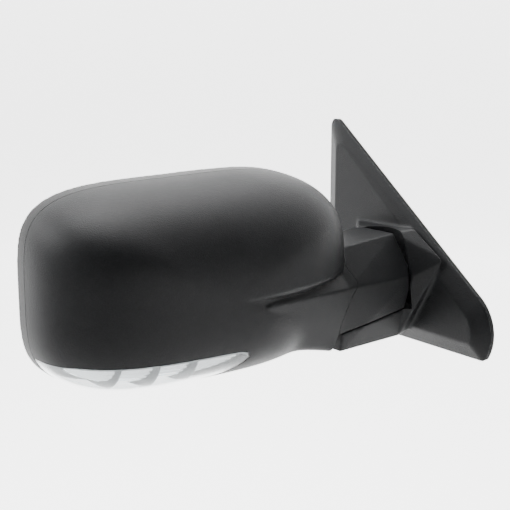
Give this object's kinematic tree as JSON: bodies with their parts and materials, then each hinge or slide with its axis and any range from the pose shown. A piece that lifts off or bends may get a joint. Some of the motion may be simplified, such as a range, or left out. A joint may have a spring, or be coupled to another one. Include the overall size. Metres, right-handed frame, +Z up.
{
  "type": "car side mirror",
  "caption": "Power-folding, heated door mirror for a pickup: a rounded head with a clear turn-signal strip on a folding arm and a triangular sail that bolts to the door.",
  "frame": {"origin": "centre of the circle of three door studs, on the face that seats on the door", "axes": "+X inboard to the door, +Y to the rear of the vehicle, +Z up"},
  "size_m": [0.4098, 0.219, 0.208],
  "materials": {
    "textured_black_plastic": "fine moulded grain",
    "black_plastic": "satin",
    "die_cast": "as cast",
    "zinc_steel": "zinc plated",
    "black_rubber": "matt",
    "clear_lens": "polished",
    "reflector": "metallised",
    "circuit_board": "solder mask",
    "led": "gloss",
    "pom": "natural",
    "heater": "film",
    "mirror": "polished"
  },
  "bodies": {
    "base": {"sail_cover": "textured_black_plastic", "base_bracket": "die_cast", "base_gasket": "black_rubber", "door_studs": "zinc_steel", "harness_grommet": "black_rubber", "sail_screws": "zinc_steel", "spindle": "zinc_steel", "fold_gear": "zinc_steel", "clutch_washer": "zinc_steel", "fold_spring": "zinc_steel", "spring_retainer": "zinc_steel", "shelf_plug": "black_plastic"},
    "head": {"front_cap": "textured_black_plastic", "rear_housing": "black_plastic", "neck_cover": "black_plastic", "head_frame": "black_plastic", "head_bracket": "die_cast", "bracket_screws": "zinc_steel", "housing_screws": "zinc_steel", "signal_lens": "clear_lens", "signal_reflector": "reflector", "signal_board": "circuit_board", "signal_leds": "led", "puddle_lens": "clear_lens", "puddle_housing": "black_plastic", "puddle_bulb": "led", "fold_gearcase": "black_plastic", "fold_gearcase_lid": "black_plastic", "fold_motor": "zinc_steel", "actuator_base": "black_plastic", "actuator_lid": "black_plastic", "actuator_screws": "zinc_steel", "pan_motor": "zinc_steel", "tilt_motor": "zinc_steel"},
    "fold_worm": {"fold_worm_shaft": "zinc_steel"},
    "fold_motor_rotor": {"fold_rotor": "pom"},
    "pan_motor_rotor": {"pan_rotor": "pom"},
    "tilt_motor_rotor": {"tilt_rotor": "pom"},
    "pan_nut": {"pan_nut_wheel": "pom"},
    "tilt_nut": {"tilt_nut_wheel": "pom"},
    "pan_rod": {"pan_jackscrew": "pom"},
    "tilt_rod": {"tilt_jackscrew": "pom"},
    "gimbal": {"gimbal_ring": "pom"},
    "glass": {"backing_plate": "black_plastic", "heater_pad": "heater", "mirror_glass": "mirror"}
  },
  "joints": [
    {"name": "fold", "type": "hinge", "parent": "base", "child": "head", "pos_m": [-0.062, -0.02, -0.0335], "axis": [0.1392, 0, -0.9903], "range_deg": [-50, 62]},
    {"name": "fold_worm_spin", "type": "hinge", "parent": "head", "child": "fold_worm", "pos_m": [-0.08804, -0.02, -0.00989], "axis": [0, 1, 0], "range_deg": [-1801, 2233]},
    {"name": "fold_rotor_spin", "type": "hinge", "parent": "head", "child": "fold_motor_rotor", "pos_m": [-0.09913, -0.003, -0.01145], "axis": [-0.1392, 0, 0.9903], "range_deg": [-44641, 36001]},
    {"name": "glass_pan", "type": "hinge", "parent": "head", "child": "gimbal", "pos_m": [-0.24545, 0.02328, 0.02], "axis": [0, 0, 1], "range_deg": [-8, 8]},
    {"name": "glass_tilt", "type": "hinge", "parent": "gimbal", "child": "glass", "pos_m": [-0.24545, 0.02328, 0.02], "axis": [0.9945, -0.1045, 0], "range_deg": [-8, 8]},
    {"name": "pan_rod_slide", "type": "slide", "parent": "head", "child": "pan_rod", "axis": [0.1045, 0.9945, 0], "range_m": [-0.0046, 0.0046]},
    {"name": "tilt_rod_slide", "type": "slide", "parent": "head", "child": "tilt_rod", "axis": [0.1045, 0.9945, 0], "range_m": [-0.0046, 0.0046]},
    {"name": "pan_nut_spin", "type": "hinge", "parent": "head", "child": "pan_nut", "pos_m": [-0.21618, -0.00443, 0.02], "axis": [0.1045, 0.9945, 0], "range_deg": [-269.08, 269.08]},
    {"name": "tilt_nut_spin", "type": "hinge", "parent": "head", "child": "tilt_nut", "pos_m": [-0.24801, -0.00108, 0.052], "axis": [0.1045, 0.9945, 0], "range_deg": [-269.08, 269.08]},
    {"name": "pan_rotor_spin", "type": "hinge", "parent": "head", "child": "pan_motor_rotor", "pos_m": [-0.22892, -0.00309, 0.02], "axis": [0, 0, 1], "range_deg": [-6434.98, 6434.98]},
    {"name": "tilt_rotor_spin", "type": "hinge", "parent": "head", "child": "tilt_motor_rotor", "pos_m": [-0.24801, -0.00108, 0.0392], "axis": [0.9945, -0.1045, 0], "range_deg": [-6434.98, 6434.98]}
  ],
  "couplings": [
    {"joint": "fold_worm_spin", "follows": "fold", "ratio": 36},
    {"joint": "fold_rotor_spin", "follows": "fold", "ratio": -720},
    {"joint": "pan_rod_slide", "follows": "glass_pan", "m_per_rad": 0.032},
    {"joint": "tilt_rod_slide", "follows": "glass_tilt", "m_per_rad": -0.032},
    {"joint": "pan_nut_spin", "follows": "glass_pan", "ratio": -33.51},
    {"joint": "tilt_nut_spin", "follows": "glass_tilt", "ratio": 33.51},
    {"joint": "pan_rotor_spin", "follows": "glass_pan", "ratio": 804.25},
    {"joint": "tilt_rotor_spin", "follows": "glass_tilt", "ratio": 804.25}
  ]
}
